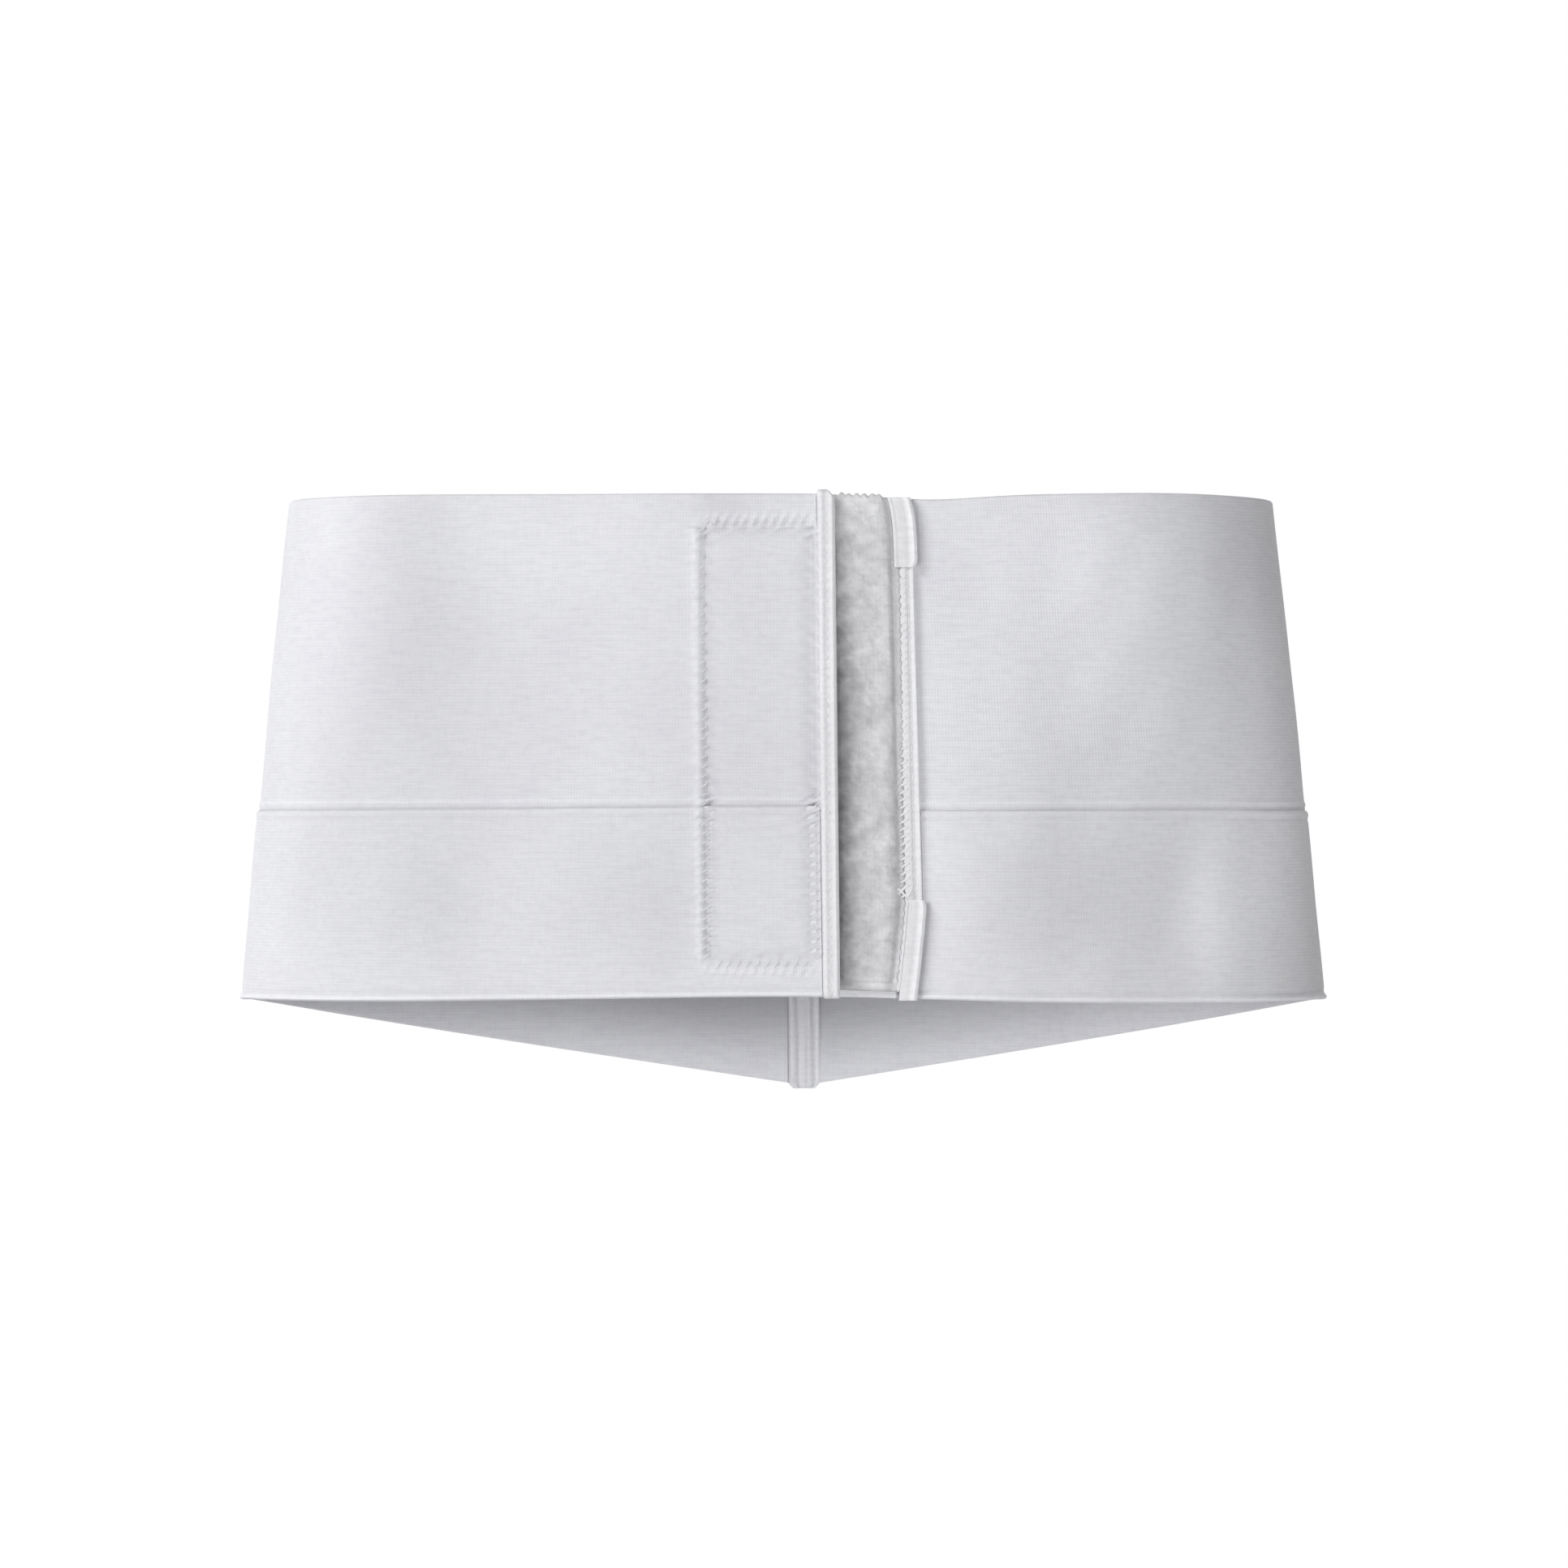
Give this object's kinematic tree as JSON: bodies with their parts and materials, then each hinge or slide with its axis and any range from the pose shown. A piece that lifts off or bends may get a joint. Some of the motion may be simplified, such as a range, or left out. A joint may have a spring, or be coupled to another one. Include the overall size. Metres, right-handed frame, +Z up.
{
  "type": "abdominal binder",
  "caption": "Closed elastic band for the trunk, narrower at the top, lapped and fastened at the front with hook and loop, with an outer band round its lower part.",
  "frame": {"origin": "on the trunk's axis, at half the height of the sides", "axes": "+Z up along the trunk, +X across it towards the wearer's left, and the closure faces -Y"},
  "size_m": [0.3496, 0.2473, 0.1935],
  "materials": {
    "elastic_cloth": "matt ribbed elastic knit",
    "band_cloth": "matt fine elastic weave",
    "tape_cloth": "soft folded tape",
    "pile_cloth": "brushed loop pile",
    "hook_cloth": "moulded hook tape"
  },
  "bodies": {
    "root": {"right_panel": "elastic_cloth", "left_panel": "elastic_cloth", "right_lower_band": "band_cloth", "left_lower_band": "band_cloth", "front_edge_binding": "tape_cloth", "hook_patch": "hook_cloth", "loop_panel": "pile_cloth", "loop_edge_tape": "tape_cloth", "upper_edge_tab": "tape_cloth", "lower_edge_tab": "tape_cloth", "back_seam_tape": "tape_cloth"}
  },
  "joints": []
}
